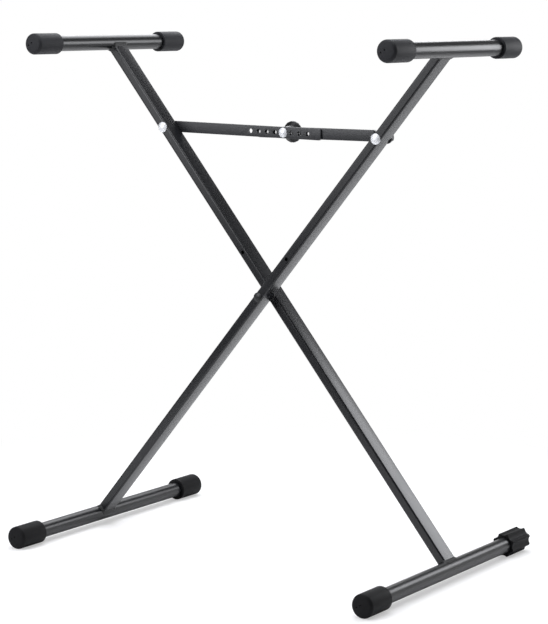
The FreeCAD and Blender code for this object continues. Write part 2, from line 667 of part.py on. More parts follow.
# Clamp knob: a hub that flares into a fluted, crowned grip, moulded round a metal insert.
# Local frame: origin on the stud axis at the hub's face, Y away from the strips.
knob = new_body("clamp_knob")
knob_section = new_sketch(knob, "XY_Plane")
insert_space = "insert_diameter / 2 + bush_fit"
rim_start = "(hub_length + grip_shoulder)"
rim_stop = "(hub_length + grip_thickness)"
stud_space = "(stud_length + 1)"
draw_outline(knob_section, [
    ("0", rim_stop + " + grip_crown"),
    ("grip_diameter / 2", rim_stop),
    ("grip_diameter / 2", rim_start),
    ("hub_flare_diameter / 2", "hub_length"),
    ("hub_diameter / 2", "0"),
    (insert_space, "0"),
    (insert_space, stud_space),
    ("0", stud_space),
], dome=0)
revolve(knob, knob_section)
for words in (rim_start, rim_stop):
    fillet(knob, "grip_round", lambda edge: is_rim(edge, value("grip_diameter / 2"), value(words)))
knob_flute = new_sketch(knob, "XZ_Plane", "-hub_length")
draw_circle(knob_flute, "0", "grip_diameter / 2 + lobe_radius - lobe_sink", "lobe_radius")
knob_cut = pocket(knob, knob_flute, "grip_thickness + grip_crown")
repeat_around(knob, knob_cut, knob_flute, "lobe_count")
KNOB_SEAT = "(%s + washer_thickness + strip_gap)" % CLAMP_WASHER
place(knob, "clamp_offset", KNOB_SEAT, CLAMP_UP)
make_ring("knob_insert", "insert_diameter", "clamp_diameter / 2 + running_gap", "insert_length",
          "clamp_offset", KNOB_SEAT, CLAMP_UP)


# Check every piece, then write one file for each.
NODES = [
    "front_leg", "rear_leg",
    "top_bar_left", "top_bar_right", "foot_bar_left", "foot_bar_right",
    "weld_top_left", "weld_top_right", "weld_foot_left", "weld_foot_right",
    "grip_cap_left_front", "grip_cap_left_rear", "grip_cap_right_front", "grip_cap_right_rear",
    "foot_cap_left_front", "foot_cap_left_rear", "foot_cap_right_front", "levelling_cap",
    "pivot_bolt", "pivot_bush_front", "pivot_bush_rear", "pivot_spacer", "pivot_cap_nut",
    "brace_bolt_left", "brace_washer_left", "brace_nut_left",
    "brace_bolt_right", "brace_washer_right", "brace_nut_right",
    "brace_strip_left", "brace_strip_right",
    "clamp_bolt", "clamp_stud", "clamp_washer", "clamp_knob", "knob_insert",
]
doc.recompute()
for item in doc.Objects:
    assert not {"Invalid", "Error"} & set(item.State), item.Name + " failed"
for node in NODES:
    shape = doc.getObject(node).Shape
    assert not shape.isNull() and shape.isValid(), node + " has no valid shape"
    assert len(shape.Solids) == 1, node + " is not one solid"
    shape.exportStep("parts/" + node + ".step")
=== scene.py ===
import math

import bmesh
import bpy
import numpy as np
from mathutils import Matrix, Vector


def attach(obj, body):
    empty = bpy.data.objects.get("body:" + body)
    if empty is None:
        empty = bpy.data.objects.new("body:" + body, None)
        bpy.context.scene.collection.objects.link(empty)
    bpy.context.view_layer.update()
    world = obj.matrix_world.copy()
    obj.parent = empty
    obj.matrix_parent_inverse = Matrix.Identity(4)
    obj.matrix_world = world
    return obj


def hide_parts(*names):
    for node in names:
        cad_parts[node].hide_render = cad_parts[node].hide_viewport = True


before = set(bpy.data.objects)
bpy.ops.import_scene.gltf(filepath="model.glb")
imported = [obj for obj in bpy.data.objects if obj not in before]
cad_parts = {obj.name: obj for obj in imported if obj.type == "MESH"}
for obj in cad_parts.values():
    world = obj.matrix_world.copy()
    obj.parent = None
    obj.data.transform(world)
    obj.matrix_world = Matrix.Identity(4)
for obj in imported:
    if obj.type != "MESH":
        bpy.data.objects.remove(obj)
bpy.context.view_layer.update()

# ---------------------------------------------------------------------------
# Crossed legs: two rectangular steel tubes, cold rolled with rounded corners, coped at both
# ends to sit on the round bars, drilled for the bolts and powder coated satin black. Sizes are
# millimetres, which only nodes and meshes turn to metres. X is across, Y to the back, Z up.
lean = math.radians(39.75)
upper_reach = 524.0
lower_reach = 529.0
foot_cap_radius = 18.75
pivot_height = foot_cap_radius + lower_reach * math.cos(lean)
leg_half_width = 7.5
leg_half_depth = 16.0
leg_corner = 2.5
leg_wall = 1.5
leg_middle = 17.0
leg_outer = leg_middle + leg_half_depth
leg_inner = leg_middle - leg_half_depth
bar_radius = 12.7
accessory_reach = 86.0
accessory_radius = 3.0
drill_half_length = 40.0


def linear(hex_colour):
    """Linear RGBA of an sRGB hex colour."""
    channels = np.array([int(hex_colour[k:k + 2], 16) for k in (1, 3, 5)]) / 255.0
    bright = ((channels + 0.055) / 1.055) ** 2.4
    return (*np.where(channels <= 0.04045, channels / 12.92, bright), 1.0)


def add_node(material, kind, settings=None, links=None):
    """One node of a material or the world: settings go on its inputs or properties, and links join
    sockets to its inputs."""
    node = material.node_tree.nodes.new(kind)
    for name, setting in (settings or {}).items():
        if name in node.inputs:
            node.inputs[name].default_value = setting
        else:
            setattr(node, name, setting)
    for name, socket in (links or {}).items():
        material.node_tree.links.new(socket, node.inputs[name])
    return node


def new_material(name):
    """Empty node material and its output node."""
    material = bpy.data.materials.new(name)
    material.use_nodes = True
    material.node_tree.nodes.clear()
    return material, add_node(material, "ShaderNodeOutputMaterial")


def powder_coat(name, colour, speck, roughness, grain_mm, lift):
    """Baked powder paint on steel: a dark colour that varies a little with the film's thickness, and the
    fine orange-peel relief of the cured film, which softens reflections along the tube."""
    material, output = new_material(name)
    place = add_node(material, "ShaderNodeTexCoord").outputs["Object"]
    film = add_node(material, "ShaderNodeTexNoise", {"Scale": 14.0, "Detail": 3.0}, {"Vector": place})
    tone = add_node(material, "ShaderNodeMix", {"data_type": "RGBA", "A": linear(colour), "B": linear(speck)})
    material.node_tree.links.new(film.outputs["Fac"], tone.inputs["Factor"])
    peel = add_node(material, "ShaderNodeTexNoise", {"Scale": 1000.0 / grain_mm, "Detail": 2.0},
                    {"Vector": place})
    gloss = add_node(material, "ShaderNodeMapRange", {"To Min": roughness - 0.04, "To Max": roughness + 0.05},
                     {"Value": film.outputs["Fac"]})
    relief = add_node(material, "ShaderNodeBump", {"Strength": lift, "Distance": 0.0002},
                      {"Height": peel.outputs["Fac"]})
    paint = add_node(material, "ShaderNodeBsdfPrincipled", {"IOR": 1.45},
                     {"Base Color": tone.outputs["Result"], "Roughness": gloss.outputs["Result"],
                      "Normal": relief.outputs["Normal"]})
    material.node_tree.links.new(paint.outputs["BSDF"], output.inputs["Surface"])
    return material


def grid_faces(rows, columns, wrap_rows=False, wrap_columns=False):
    """Quads between neighbouring points of a grid, as an array of vertex numbers."""
    last_row = rows if wrap_rows else rows - 1
    last_column = columns if wrap_columns else columns - 1
    row, column = np.meshgrid(np.arange(last_row), np.arange(last_column), indexing="ij")
    next_row = (row + 1) % rows
    next_column = (column + 1) % columns
    quads = [row * columns + column, row * columns + next_column,
             next_row * columns + next_column, next_row * columns + column]
    return np.stack([q.ravel() for q in quads], axis=1)


def make_piece(name, points, wrap_rows=False, wrap_columns=False):
    """Mesh object from a grid of points in millimetres: doubles merged, normals outwards."""
    faces = grid_faces(points.shape[0], points.shape[1], wrap_rows, wrap_columns)
    mesh = bpy.data.meshes.new(name)
    mesh.from_pydata((points.reshape(-1, 3) / 1000.0).tolist(), [], faces.tolist())
    piece = bpy.data.objects.new(name, mesh)
    bpy.context.scene.collection.objects.link(piece)
    tidy_mesh(mesh)
    return piece


def tidy_mesh(mesh):
    """Merge doubled points, close the shell's ends and point the faces outwards."""
    work = bmesh.new()
    work.from_mesh(mesh)
    bmesh.ops.remove_doubles(work, verts=work.verts, dist=2e-6)
    bmesh.ops.dissolve_degenerate(work, edges=work.edges, dist=1e-7)
    bmesh.ops.recalc_face_normals(work, faces=work.faces)
    work.to_mesh(mesh)
    work.free()


def cut_away(piece, cutters):
    """Boolean difference of a piece and its cutters, which are then removed."""
    for cutter in cutters:
        modifier = piece.modifiers.new("cut", "BOOLEAN")
        modifier.operation = "DIFFERENCE"
        modifier.solver = "EXACT"
        modifier.object = cutter
    bpy.context.view_layer.update()
    evaluated = piece.evaluated_get(bpy.context.evaluated_depsgraph_get())
    mesh = bpy.data.meshes.new_from_object(evaluated)
    piece.modifiers.clear()
    piece.data = mesh
    for cutter in cutters:
        bpy.data.objects.remove(cutter)


def smooth(piece, degrees=32):
    """Smooth shading that stays crisp at edges sharper than the angle."""
    piece.data.polygons.foreach_set("use_smooth", np.ones(len(piece.data.polygons), bool))
    piece.data.set_sharp_from_angle(angle=math.radians(degrees))


def dress(piece, material, body, nodes, degrees=32):
    """Finish a piece: shading, material, the body it rides on and the nodes it stands for."""
    smooth(piece, degrees)
    piece.data.materials.clear()
    piece.data.materials.append(material)
    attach(piece, body)
    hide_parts(*nodes)


def round_section(half_width, half_depth, corner, steps=6, flats=9):
    """Rounded rectangle: four quarter circles of the corner radius joined by straight sides, as points
    (x, y). The sides across the width are divided so that a curved end can follow them."""
    quarter = np.linspace(0, math.pi / 2, steps)
    across = half_width - corner
    deep = half_depth - corner
    sides = []
    for k, (sx, sy) in enumerate(((1, 1), (-1, 1), (-1, -1), (1, -1))):
        turn = quarter + k * math.pi / 2
        sides.append(np.stack([sx * across + corner * np.cos(turn),
                               sy * deep + corner * np.sin(turn)], axis=1))
        if k in (0, 2):
            run = np.linspace(sx * across, -sx * across, flats)[1:-1]
            sides.append(np.stack([run, np.full(run.size, sy * half_depth)], axis=1))
    return np.concatenate(sides)


def post(name, radius, start, stop, turns=48):
    """Closed cylinder along Y in local axes, from start to stop."""
    angle = np.linspace(0, 2 * math.pi, turns, endpoint=False)
    radii = np.array([0.0, radius, radius, 0.0])[None, :]
    along = np.broadcast_to(np.array([start, start, stop, stop]), (turns, 4))
    points = np.stack([np.cos(angle)[:, None] * radii, along, np.sin(angle)[:, None] * radii], axis=2)
    return make_piece(name, points, wrap_rows=True)


def lean_over(piece, angle, back):
    """Turn a piece from leg axes (Z along the leg, origin at the main pivot) to its place in the stand."""
    cosine, sine = math.cos(angle), math.sin(angle)
    count = len(piece.data.vertices)
    points = np.empty(count * 3)
    piece.data.vertices.foreach_get("co", points)
    x, y, z = points.reshape(-1, 3).T
    placed = np.stack([x * cosine + z * sine, y + back / 1000.0,
                       z * cosine - x * sine + pivot_height / 1000.0], axis=1)
    piece.data.vertices.foreach_set("co", placed.ravel())
    piece.data.update()


def make_leg(name, angle, back, body, material):
    """Tube wall swept along the leg. Each end stops where the bar's circle is: the reach less the square
    root of the bar radius squared less the distance from the middle squared."""
    outer = round_section(leg_half_width, leg_half_depth, leg_corner)
    inner = round_section(leg_half_width - leg_wall, leg_half_depth - leg_wall, leg_corner - leg_wall)
    loops = []
    for section, ends in ((outer, (-1, 1)), (inner, (1, -1))):
        clear = np.sqrt(bar_radius ** 2 - section[:, 0] ** 2)
        stations = {-1: -(lower_reach - clear), 1: upper_reach - clear}
        for t in (0.0, 0.25, 0.5, 0.75, 1.0):
            z = stations[ends[0]] * (1 - t) + stations[ends[1]] * t
            loops.append(np.column_stack([section, z]))
    leg = make_piece(name, np.array(loops), wrap_rows=True, wrap_columns=True)
    drill = post("drill", accessory_radius, -drill_half_length, drill_half_length)
    drill.data.transform(Matrix.Translation((0, 0, accessory_reach / 1000.0)))
    cut_away(leg, [drill])
    lean_over(leg, angle, back)
    dress(leg, material, body, [name.replace("_tube", "")])


leg_coat = powder_coat("satin_black_powder_coat", "#0b0c0f", "#111216", 0.27, 0.6, 0.06)
make_leg("front_leg_tube", lean, -leg_middle, "front_frame", leg_coat)
make_leg("rear_leg_tube", -lean, leg_middle, "rear_frame", leg_coat)

# ---------------------------------------------------------------------------
# Bars: round welded steel tubes along the stand's depth, two to carry the keyboard and two on
# the floor. Their powder coat has a lower relief than the legs', so the lamps draw bands on them.
top_across = upper_reach * math.sin(lean)
top_height = pivot_height + upper_reach * math.cos(lean)
foot_across = lower_reach * math.sin(lean)
foot_height = foot_cap_radius
top_half_length = 193.5
foot_half_length = 246.5
bar_wall = 1.5
cap_end_wall = 4.0


def round_corners(corners, steps=8):
    """Profile through the corners, given as (radius, along, rounding): each rounding is the arc that
    touches both sides, from its tangent points at rounding times the tangent of half the turn."""
    profile = []
    for k, (r, y, rounding) in enumerate(corners):
        here = np.array([r, y], float)
        if rounding == 0:
            profile.append(here[None, :])
            continue
        before = np.array(corners[k - 1][:2], float) - here
        after = np.array(corners[(k + 1) % len(corners)][:2], float) - here
        before /= np.linalg.norm(before)
        after /= np.linalg.norm(after)
        half = math.acos(np.clip(before @ after, -1, 1)) / 2
        middle = (before + after) / np.linalg.norm(before + after)
        centre = here + middle * rounding / math.sin(half)
        first = here + before * rounding / math.tan(half) - centre
        last = here + after * rounding / math.tan(half) - centre
        share = np.linspace(0, 1, steps)[:, None]
        sweep = math.acos(np.clip(first @ last / rounding ** 2, -1, 1))
        arc = (np.sin((1 - share) * sweep) * first + np.sin(share * sweep) * last) / math.sin(sweep)
        profile.append(centre + arc)
    return np.concatenate(profile)


def turn_profile(name, profile, middle, facing=1, turns=72, closed=False):
    """Surface of revolution: each profile point (radius, along) goes round an axis along Y through the
    middle point. Facing -1 points it to the front."""
    angle = np.linspace(0, 2 * math.pi, turns, endpoint=False)[:, None]
    radius, along = profile[:, 0][None, :], profile[:, 1][None, :]
    x = middle[0] + radius * np.cos(angle)
    y = np.broadcast_to(middle[1] + facing * along, x.shape)
    z = middle[2] + radius * np.sin(angle)
    return make_piece(name, np.stack([x, y, z], axis=2), wrap_rows=True, wrap_columns=closed)


def make_bar(name, across, height, half_length, body, material):
    """Tube wall between its ends, which stay inside the caps."""
    end = half_length - cap_end_wall
    stations = np.linspace(-end, end, 9)
    outside = np.column_stack([np.full(stations.size, bar_radius), stations])
    inside = np.column_stack([np.full(stations.size, bar_radius - bar_wall), stations[::-1]])
    bar = turn_profile(name + "_tube", np.concatenate([outside, inside]), (across, 0.0, height), closed=True)
    dress(bar, material, body, [name])


bar_coat = powder_coat("gloss_black_powder_coat", "#0a0b0d", "#101114", 0.32, 0.9, 0.04)
make_bar("top_bar_left", -top_across, top_height, top_half_length, "rear_frame", bar_coat)
make_bar("top_bar_right", top_across, top_height, top_half_length, "front_frame", bar_coat)
make_bar("foot_bar_left", -foot_across, foot_height, foot_half_length, "front_frame", bar_coat)
make_bar("foot_bar_right", foot_across, foot_height, foot_half_length, "rear_frame", bar_coat)

# ---------------------------------------------------------------------------
# Weld seams: a fillet of steel run round each leg end where it meets the bar, then coated with
# the frame. Their coat is drawn darker than the frame's, as painted shade for the dark line where
# the leg meets the bar. The runs are laid in short steps, so the seam keeps a fine ripple.
weld_throat = 3.0
weld_rise = 3.6
ripple_pitch = 2.4
ripple_height = 0.16
bead_swell = 0.35
bead_step = 0.8
bead_bite = 0.1
core_share = 0.93
core_rise = 0.6


def make_weld(name, reach, angle, back, body, material):
    """Seam section carried round the leg's outline: from the leg's wall, rise below the bar, along a bulged
    curve to the bar's surface, throat away from the wall, and back inside. The ripple is a sine of the
    way round."""
    wall = round_section(leg_half_width, leg_half_depth, leg_corner, steps=9, flats=25)
    dense = []
    for k in range(len(wall)):
        start, stop = wall[k], wall[(k + 1) % len(wall)]
        pieces = max(1, int(np.linalg.norm(stop - start) / bead_step))
        dense.append(start + (stop - start) * np.linspace(0, 1, pieces, endpoint=False)[:, None])
    wall = np.concatenate(dense)
    step = np.roll(wall, -1, axis=0) - np.roll(wall, 1, axis=0)
    outward = np.stack([step[:, 1], -step[:, 0]], axis=1) / np.linalg.norm(step, axis=1)[:, None]
    way = np.cumsum(np.linalg.norm(np.roll(wall, -1, axis=0) - wall, axis=1))
    ripple = ripple_height * np.sin(2 * math.pi * way / ripple_pitch)[:, None]
    share = np.linspace(0, 1, 8)[None, :]
    out = weld_throat * share ** 1.5 + (bead_swell + ripple) * np.sin(math.pi * share) - bead_bite
    spots = wall[:, None, :] + outward[:, None, :] * out[:, :, None]
    edge = bar_radius - bead_bite
    seat = reach - np.sqrt(bar_radius ** 2 - np.clip(spots[:, :, 0], -edge, edge) ** 2)
    low = reach - np.sqrt(bar_radius ** 2 - wall[:, None, 0] ** 2) - weld_rise
    z = low * (1 - share) ** 1.2 + seat * (1 - (1 - share) ** 1.2)
    skin = np.concatenate([spots, z[:, :, None]], axis=2)
    inner = wall * core_share
    top = np.column_stack([inner, reach - np.sqrt(bar_radius ** 2 - inner[:, 0] ** 2) + core_rise])
    bottom = np.column_stack([inner, low[:, 0]])
    rings = np.concatenate([skin, top[:, None, :], bottom[:, None, :]], axis=1)
    weld = make_piece(name + "_seam", rings, wrap_rows=True, wrap_columns=True)
    lean_over(weld, angle, back)
    dress(weld, material, body, [name], degrees=50)


# The seam colour is darker than the leg coat: painted shade for the dark line at the joint.
weld_coat_with_painted_shade = powder_coat("powder_coated_weld_seam_painted_shade", "#08090a", "#0e0f11", 0.5, 0.9, 0.3)
make_weld("weld_top_right", upper_reach, lean, -leg_middle, "front_frame", weld_coat_with_painted_shade)
make_weld("weld_foot_left", lower_reach, lean + math.pi, -leg_middle, "front_frame", weld_coat_with_painted_shade)
make_weld("weld_top_left", upper_reach, -lean, leg_middle, "rear_frame", weld_coat_with_painted_shade)
make_weld("weld_foot_right", lower_reach, math.pi - lean, leg_middle, "rear_frame", weld_coat_with_painted_shade)

# ---------------------------------------------------------------------------
# End caps: moulded rubber cups pushed over the bar ends, crowned at the closed end, where two
# vent dimples let the air out. The ones on top grip the keyboard, the floor ones are larger.
grip_cap_radius = 17.1
grip_cap_length = 58.5
foot_cap_length = 57.5
cap_fit = 0.1
cap_crown_share = 0.64
cap_end_dome = 1.0
cap_rim_round = 5.2
cap_mouth_round = 0.6
vent_radius = 1.3
vent_sink = 2.5
vent_spots = ((1.8, 1.9), (8.2, -1.9))
pin_excess = 2.0


def moulded_rubber(name, colour, bloom, refraction, roughness):
    """Matt rubber from a blasted mould: a grain drawn at about 0.6 mm, so that it just shows, and a faint
    grey bloom where wax has come to the surface. The bloom dulls it, which a low refraction gives."""
    material, output = new_material(name)
    place = add_node(material, "ShaderNodeTexCoord").outputs["Object"]
    cloud = add_node(material, "ShaderNodeTexNoise", {"Scale": 38.0, "Detail": 4.0, "Roughness": 0.6},
                     {"Vector": place})
    grain = add_node(material, "ShaderNodeTexNoise", {"Scale": 1600.0, "Detail": 2.0}, {"Vector": place})
    tone = add_node(material, "ShaderNodeMix", {"data_type": "RGBA", "A": linear(colour), "B": linear(bloom)})
    material.node_tree.links.new(cloud.outputs["Fac"], tone.inputs["Factor"])
    relief = add_node(material, "ShaderNodeBump", {"Strength": 0.35, "Distance": 0.0002},
                      {"Height": grain.outputs["Fac"]})
    rubber = add_node(material, "ShaderNodeBsdfPrincipled", {"IOR": refraction, "Roughness": roughness},
                      {"Base Color": tone.outputs["Result"], "Normal": relief.outputs["Normal"]})
    material.node_tree.links.new(rubber.outputs["BSDF"], output.inputs["Surface"])
    return material


def make_cap(name, radius, length, across, half_length, height, facing, body, material):
    """Cup turned about the bar: a crown that falls with the square of the radius, a rounded rim, the wall,
    a rounded mouth, and the bore with its end wall."""
    crown = np.linspace(0, cap_crown_share, 9)
    corners = [(radius * c, length - cap_end_dome * c * c, 0) for c in crown]
    corners += [(radius, length - cap_end_dome, cap_rim_round), (radius, 0.0, cap_mouth_round),
                (bar_radius + cap_fit, 0.0, 0.3), (bar_radius + cap_fit, length - cap_end_wall, 0),
                (0.0, length - cap_end_wall, 0)]
    mouth = half_length - length
    cap = turn_profile(name + "_cup", round_corners(corners), (across, facing * mouth, height), facing,
                       turns=96)
    pins = []
    for aside, above in vent_spots:
        pin = post("pin", vent_radius, facing * (half_length - vent_sink),
                   facing * (half_length + pin_excess), turns=24)
        pin.data.transform(Matrix.Translation(((across + facing * aside) / 1000.0, 0,
                                                  (height + above) / 1000.0)))
        tidy_mesh(pin.data)
        pins.append(pin)
    cut_away(cap, pins)
    dress(cap, material, body, [name])


grip_rubber = moulded_rubber("moulded_grip_rubber", "#15161a", "#1d1e22", 1.36, 0.63)
foot_rubber = moulded_rubber("moulded_foot_rubber", "#060608", "#0c0c0e", 1.24, 0.6)
for name, across, facing, body in (
    ("grip_cap_left_front", -top_across, -1, "rear_frame"),
    ("grip_cap_left_rear", -top_across, 1, "rear_frame"),
    ("grip_cap_right_front", top_across, -1, "front_frame"),
    ("grip_cap_right_rear", top_across, 1, "front_frame"),
):
    make_cap(name, grip_cap_radius, grip_cap_length, across, top_half_length, top_height, facing, body,
             grip_rubber)
for name, across, facing, body in (
    ("foot_cap_left_front", -foot_across, -1, "front_frame"),
    ("foot_cap_left_rear", -foot_across, 1, "front_frame"),
    ("foot_cap_right_front", foot_across, -1, "rear_frame"),
):
    make_cap(name, foot_cap_radius, foot_cap_length, across, foot_half_length, foot_height, facing, body,
             foot_rubber)

# ---------------------------------------------------------------------------
# Levelling cap: the ribbed rubber foot at the far right. Its bore is off centre, so turning it
# by a ridge or two takes the rock out of the stand. It stands on two neighbouring ridges.
rib_count = 8
crest_angle = math.radians(4.5)
flute_floor = 16.6
levelling_throw = 1.0
levelling_fit = 0.05
levelling_lip = 1.5
levelling_rim = 2.0
half_flute = math.pi / rib_count - crest_angle
ridge_radius = foot_cap_radius / math.cos(half_flute)
flute_sag = ridge_radius * math.cos(half_flute) - flute_floor
half_mouth = ridge_radius * math.sin(half_flute)
flute_radius = (flute_sag ** 2 + half_mouth ** 2) / (2 * flute_sag)


def fluted_radius(angle, count, phase, rim, floor, groove):
    """Distance from the axis to a fluted outline: the rim's radius, or where the ray meets the groove
    circle, which stands at floor plus groove from the axis in the middle of each share of a turn."""
    share = 2 * math.pi / count
    off = np.mod(angle - phase + share / 2, share) - share / 2
    reach = floor + groove
    under = groove ** 2 - (reach * np.sin(off)) ** 2
    wall = reach * np.cos(off) - np.sqrt(np.maximum(under, 0))
    return np.where(under > 0, np.minimum(rim, wall), rim)


angle = np.linspace(0, 2 * math.pi, rib_count * 32, endpoint=False)[:, None]
outline = fluted_radius(angle, rib_count, -math.pi / 2, ridge_radius, flute_floor, flute_radius)
rim = round_corners([(0.0, foot_cap_length, 0), (ridge_radius, foot_cap_length, cap_mouth_round),
                     (ridge_radius, 0.0, cap_mouth_round), (bar_radius + levelling_lip, 0.0, 0)])
flat_end = np.linspace(0, ridge_radius - levelling_rim, 8)
rim = np.concatenate([np.column_stack([flat_end, np.full(flat_end.size, foot_cap_length)]), rim[1:]])
radius = np.minimum(outline, rim[:, 0][None, :])
x = foot_across - levelling_throw + radius * np.cos(angle)
y = np.broadcast_to(foot_half_length - foot_cap_length + rim[:, 1][None, :], x.shape)
z = foot_height + radius * np.sin(angle)
shell = np.stack([x, y, z], axis=2)
bore_radius = bar_radius + levelling_fit
bore = np.array([(bore_radius, 0.0), (bore_radius, foot_cap_length - cap_end_wall),
                 (0.0, foot_cap_length - cap_end_wall)])
x = foot_across + bore[:, 0][None, :] * np.cos(angle)
y = np.broadcast_to(foot_half_length - foot_cap_length + bore[:, 1][None, :], x.shape)
z = foot_height + bore[:, 0][None, :] * np.sin(angle)
levelling = make_piece("levelling_cap_ribbed", np.concatenate([shell, np.stack([x, y, z], axis=2)], axis=1),
                       wrap_rows=True)
dress(levelling, foot_rubber, "levelling_cap", ["levelling_cap"], degrees=25)

# ---------------------------------------------------------------------------
# Main pivot: one bolt with a low round head, black like the frame, in a nylon bush in each leg,
# with a nylon spacer between the legs and a low round cap nut behind.
pivot_head_radius = 8.0
pivot_head_height = 2.8
pivot_radius = 4.0
pivot_bolt_length = 67.3


def bolt_profile(head_radius, head_height, shank_radius, shank_length):
    """Round head over a shank: the head is a slice of a sphere on a short edge."""
    edge = head_height / 5
    rise = head_height - edge
    ball = (head_radius ** 2 + rise ** 2) / (2 * rise)
    turn = np.linspace(0, math.asin(min(1.0, head_radius / ball)), 16)
    dome = np.column_stack([ball * np.sin(turn), -head_height + ball * (1 - np.cos(turn))])
    rest = round_corners([(head_radius, 0.0, edge * 0.4), (shank_radius, 0.0, 0),
                          (shank_radius, shank_length, 0.6), (0.0, shank_length, 0)])
    return np.concatenate([dome, rest])


def plated_steel(name, colour, shade, roughness, metallic):
    """Plated or blackened steel: a thin film over metal, with a faint cloudy tone and a turned grain too
    fine to see, drawn at 0.3 mm, that spreads the highlights a little."""
    material, output = new_material(name)
    place = add_node(material, "ShaderNodeTexCoord").outputs["Object"]
    cloud = add_node(material, "ShaderNodeTexNoise", {"Scale": 90.0, "Detail": 3.0}, {"Vector": place})
    grain = add_node(material, "ShaderNodeTexNoise", {"Scale": 3300.0, "Detail": 1.0}, {"Vector": place})
    tone = add_node(material, "ShaderNodeMix", {"data_type": "RGBA", "A": linear(colour), "B": linear(shade)})
    material.node_tree.links.new(cloud.outputs["Fac"], tone.inputs["Factor"])
    gloss = add_node(material, "ShaderNodeMapRange", {"To Min": roughness - 0.05, "To Max": roughness + 0.07},
                     {"Value": cloud.outputs["Fac"]})
    relief = add_node(material, "ShaderNodeBump", {"Strength": 0.04, "Distance": 0.0001},
                      {"Height": grain.outputs["Fac"]})
    metal = add_node(material, "ShaderNodeBsdfPrincipled", {"Metallic": metallic},
                     {"Base Color": tone.outputs["Result"], "Roughness": gloss.outputs["Result"],
                      "Normal": relief.outputs["Normal"]})
    material.node_tree.links.new(metal.outputs["BSDF"], output.inputs["Surface"])
    return material


def repaint(node, material):
    """Give a carried-over CAD piece its material."""
    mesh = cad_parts[node].data
    mesh.materials.clear()
    mesh.materials.append(material)


def moulded_plastic(name, colour, worn, roughness, grain_mm):
    """Injection-moulded plastic: an even colour, slightly lighter where it is rubbed, and the spark grain
    of the mould, drawn coarser than it is so that it just shows."""
    material, output = new_material(name)
    place = add_node(material, "ShaderNodeTexCoord").outputs["Object"]
    cloud = add_node(material, "ShaderNodeTexNoise", {"Scale": 55.0, "Detail": 3.0}, {"Vector": place})
    grain = add_node(material, "ShaderNodeTexVoronoi", {"Scale": 1000.0 / grain_mm}, {"Vector": place})
    tone = add_node(material, "ShaderNodeMix", {"data_type": "RGBA", "A": linear(colour), "B": linear(worn)})
    material.node_tree.links.new(cloud.outputs["Fac"], tone.inputs["Factor"])
    relief = add_node(material, "ShaderNodeBump", {"Strength": 0.2, "Distance": 0.0002},
                      {"Height": grain.outputs["Distance"]})
    plastic = add_node(material, "ShaderNodeBsdfPrincipled", {"IOR": 1.42, "Roughness": roughness},
                       {"Base Color": tone.outputs["Result"], "Normal": relief.outputs["Normal"]})
    material.node_tree.links.new(plastic.outputs["BSDF"], output.inputs["Surface"])
    return material


black_steel = plated_steel("blackened_steel", "#121314", "#1a1b1c", 0.4, 0.3)
bush_nylon = moulded_plastic("black_nylon", "#202022", "#2a2a2c", 0.5, 0.8)
pivot_bolt = turn_profile("pivot_bolt_turned",
                          bolt_profile(pivot_head_radius, pivot_head_height, pivot_radius, pivot_bolt_length),
                          (0.0, -leg_outer, pivot_height))
dress(pivot_bolt, black_steel, "front_frame", ["pivot_bolt"])
repaint("pivot_cap_nut", black_steel)
for node in ("pivot_bush_front", "pivot_bush_rear", "pivot_spacer"):
    repaint(node, bush_nylon)

# ---------------------------------------------------------------------------
# Brace bolts: zinc-plated cup-head bolts through the legs. They hold the brace strips behind,
# each with a washer and a lock nut that leave the strip free to swing. The right pair is black.
brace_reach = 344.0
brace_across = brace_reach * math.sin(lean)
brace_height = pivot_height + brace_reach * math.cos(lean)
brace_head_radius = 8.5
brace_head_height = 4.0
brace_bolt_radius = 4.0
brace_bolt_length = 45.1

zinc = plated_steel("bright_zinc_plate", "#f0f1f3", "#dadce0", 0.5, 0.5)
for side, across, front, body in (("left", -brace_across, leg_inner, "rear_frame"),
                                  ("right", brace_across, -leg_outer, "front_frame")):
    bolt = turn_profile("brace_bolt_%s_turned" % side,
                        bolt_profile(brace_head_radius, brace_head_height, brace_bolt_radius,
                                     brace_bolt_length), (across, front, brace_height))
    dress(bolt, zinc, body, ["brace_bolt_" + side])
for node, metal in (("brace_nut_left", zinc), ("brace_washer_left", zinc),
                    ("brace_nut_right", black_steel), ("brace_washer_right", black_steel)):
    repaint(node, metal)

# ---------------------------------------------------------------------------
# Brace strips: flat steel, blanked with their adjusting holes, deburred and powder coated. The
# left one is straight, and the right one is bent back so that it lies flat behind it.
strip_half_width = 9.25
strip_thickness = 3.0
clamp_across = 1.6
brace_sag = 1.9
hole_pull = 0.6
hole_pitch = 16.0
hole_count = 8
adjusting_radius = 3.7
eye_radius = 4.05
left_end_margin = 26.0
left_end_round = 4.0
right_end_margin = 9.6
joggle_start = 18.0
joggle_run = 28.5
bend_radius = 4.0
strip_edge_round = 0.35
left_dip = math.atan2(brace_sag, brace_across + clamp_across)
right_dip = math.atan2(brace_sag, brace_across - clamp_across)
clamp_height = brace_height - brace_sag
left_first = -brace_across + math.hypot(brace_across + clamp_across, brace_sag) - hole_pull - 4 * hole_pitch
right_first = brace_across - math.hypot(brace_across - clamp_across, brace_sag) + hole_pull - 3 * hole_pitch
left_end = left_first + (hole_count - 1) * hole_pitch + left_end_margin
right_end = right_first - right_end_margin
left_face = 33.2
right_face = 36.4
pad_face = -0.8
end_hair = 0.001
drill_front = -8.0
drill_back = 60.0


def strip_section(edge, steps=4):
    """Flat bar's section as (across the thickness, share of the half width, corner offset): the rectangle
    with its four edges rounded."""
    quarter = np.linspace(0, math.pi / 2, steps)
    thick = strip_thickness / 2 - edge
    section = []
    for k, (st, sw) in enumerate(((1, 1), (-1, 1), (-1, -1), (1, -1))):
        turn = quarter + k * math.pi / 2
        section.append(np.stack([st * thick + edge * np.cos(turn), np.full(steps, float(sw)),
                                 edge * (np.sin(turn) - sw)], axis=1))
    return np.concatenate(section)


